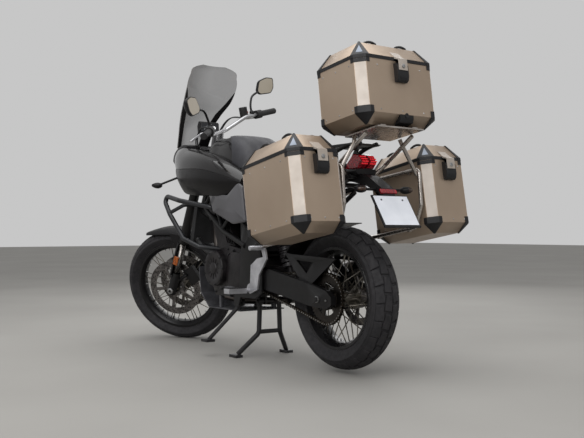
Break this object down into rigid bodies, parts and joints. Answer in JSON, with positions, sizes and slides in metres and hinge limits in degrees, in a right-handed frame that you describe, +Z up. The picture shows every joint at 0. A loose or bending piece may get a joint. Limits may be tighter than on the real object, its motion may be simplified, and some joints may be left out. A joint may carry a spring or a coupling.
{
  "type": "adventure motorcycle",
  "caption": "Twin-cylinder adventure motorcycle on its centre stand, with wire wheels, tall screen, crash bars and aluminium side and top cases.",
  "frame": {"origin": "middle of the motorcycle's bounding box on the floor it stands on", "axes": "+X forward, +Y to the rider's left, +Z up"},
  "size_m": [2.1562, 0.986, 1.55],
  "materials": {
    "frame_black": "satin black paint",
    "engine_black": "satin black castings",
    "plastic_black": "grained black plastic",
    "radiator_black": "black fins",
    "skid_plate": "dark anodised",
    "exhaust": "dark steel",
    "swingarm_black": "satin black paint",
    "shock": "painted spring",
    "chain": "oiled steel",
    "tank_gloss": "gloss dark brown-black",
    "cover_grey": "textured dark grey",
    "shroud_gloss": "gloss dark grey",
    "panel_silver": "silver paint",
    "seat_vinyl": "black vinyl",
    "lamp_red": "red lens",
    "plate_white": "blank white",
    "lamp_clear": "clear lens",
    "screen_smoke": "smoked clear",
    "bars_black": "satin black powder coat",
    "bright_aluminium": "cast aluminium",
    "rack_steel": "brushed stainless",
    "case_champagne": "champagne anodised",
    "cap_black": "black plastic",
    "fork_black": "black anodised",
    "fork_chrome": "hard chrome",
    "bar_silver": "silver anodised",
    "rubber_black": "black rubber and plastic",
    "stand_black": "grey-black paint",
    "tyre": "road rubber",
    "rim_black": "black anodised",
    "spokes": "zinc-plated spokes",
    "disc_steel": "ground steel"
  },
  "bodies": {
    "root": {"main_frame": "frame_black", "engine": "engine_black", "airbox": "plastic_black", "radiator": "radiator_black", "skid_plate": "skid_plate", "exhaust": "exhaust", "swingarm": "swingarm_black", "rear_shock": "shock", "chain": "chain", "fuel_tank": "tank_gloss", "tank_cover": "cover_grey", "shrouds": "shroud_gloss", "side_panels": "panel_silver", "seat": "seat_vinyl", "tail_unit": "plastic_black", "tail_lamp": "lamp_red", "number_plate": "plate_white", "indicators": "plastic_black", "nose_fairing": "shroud_gloss", "headlamps": "lamp_clear", "windscreen": "screen_smoke", "dash": "plastic_black", "crash_bars": "bars_black", "footpegs": "bright_aluminium", "luggage_rack": "rack_steel", "left_case": "case_champagne", "right_case": "case_champagne", "top_case": "case_champagne", "case_fittings": "cap_black"},
    "steering": {"fork_outers": "fork_black", "fork_inners": "fork_chrome", "fork_feet": "fork_black", "front_fender": "plastic_black", "handlebar": "bar_silver", "hand_controls": "rubber_black", "mirrors": "plastic_black"},
    "front_wheel": {"front_tyre": "tyre", "front_rim": "rim_black", "front_hub": "spokes", "front_discs": "disc_steel"},
    "rear_wheel": {"rear_tyre": "tyre", "rear_rim": "rim_black", "rear_hub": "spokes", "rear_sprocket": "disc_steel", "rear_disc": "disc_steel"},
    "side_stand": {"side_stand": "stand_black"},
    "centre_stand": {"centre_stand": "stand_black"},
    "left_lid": {"left_case_lid": "case_champagne", "left_lid_caps": "cap_black"},
    "right_lid": {"right_case_lid": "case_champagne", "right_lid_caps": "cap_black"},
    "top_lid": {"top_case_lid": "case_champagne", "top_lid_caps": "cap_black"}
  },
  "joints": [
    {"name": "steering_turn", "type": "hinge", "parent": "root", "child": "steering", "pos_m": [0.76527, 0, 0.30824], "axis": [-0.4305, 0, 0.9026], "range_deg": [-72.8, 0]},
    {"name": "front_wheel_spin", "type": "hinge", "parent": "steering", "child": "front_wheel", "pos_m": [0.79069, 0.02077, 0.32036], "axis": [-0.5356, 0.8049, -0.2555], "continuous": true},
    {"name": "rear_wheel_spin", "type": "hinge", "parent": "root", "child": "rear_wheel", "pos_m": [-0.69014, 0, 0.3323], "axis": [0, 1, 0], "continuous": true},
    {"name": "side_stand_fold", "type": "hinge", "parent": "root", "child": "side_stand", "pos_m": [-0.05414, 0.134, 0.274], "axis": [0, 1, 0], "range_deg": [0, 118]},
    {"name": "centre_stand_fold", "type": "hinge", "parent": "root", "child": "centre_stand", "pos_m": [-0.10014, 0, 0.282], "axis": [0, 1, 0], "range_deg": [0, 95]},
    {"name": "left_lid_open", "type": "hinge", "parent": "root", "child": "left_lid", "pos_m": [-0.56342, 0.3625, 0.8845], "axis": [0, 1, 0], "range_deg": [0, 95]},
    {"name": "right_lid_open", "type": "hinge", "parent": "root", "child": "right_lid", "pos_m": [-0.56342, -0.3625, 0.8845], "axis": [0, 1, 0], "range_deg": [0, 95]},
    {"name": "top_lid_open", "type": "hinge", "parent": "root", "child": "top_lid", "pos_m": [-0.72852, 0, 1.29808], "axis": [0, 1, 0], "range_deg": [0, 95]}
  ]
}
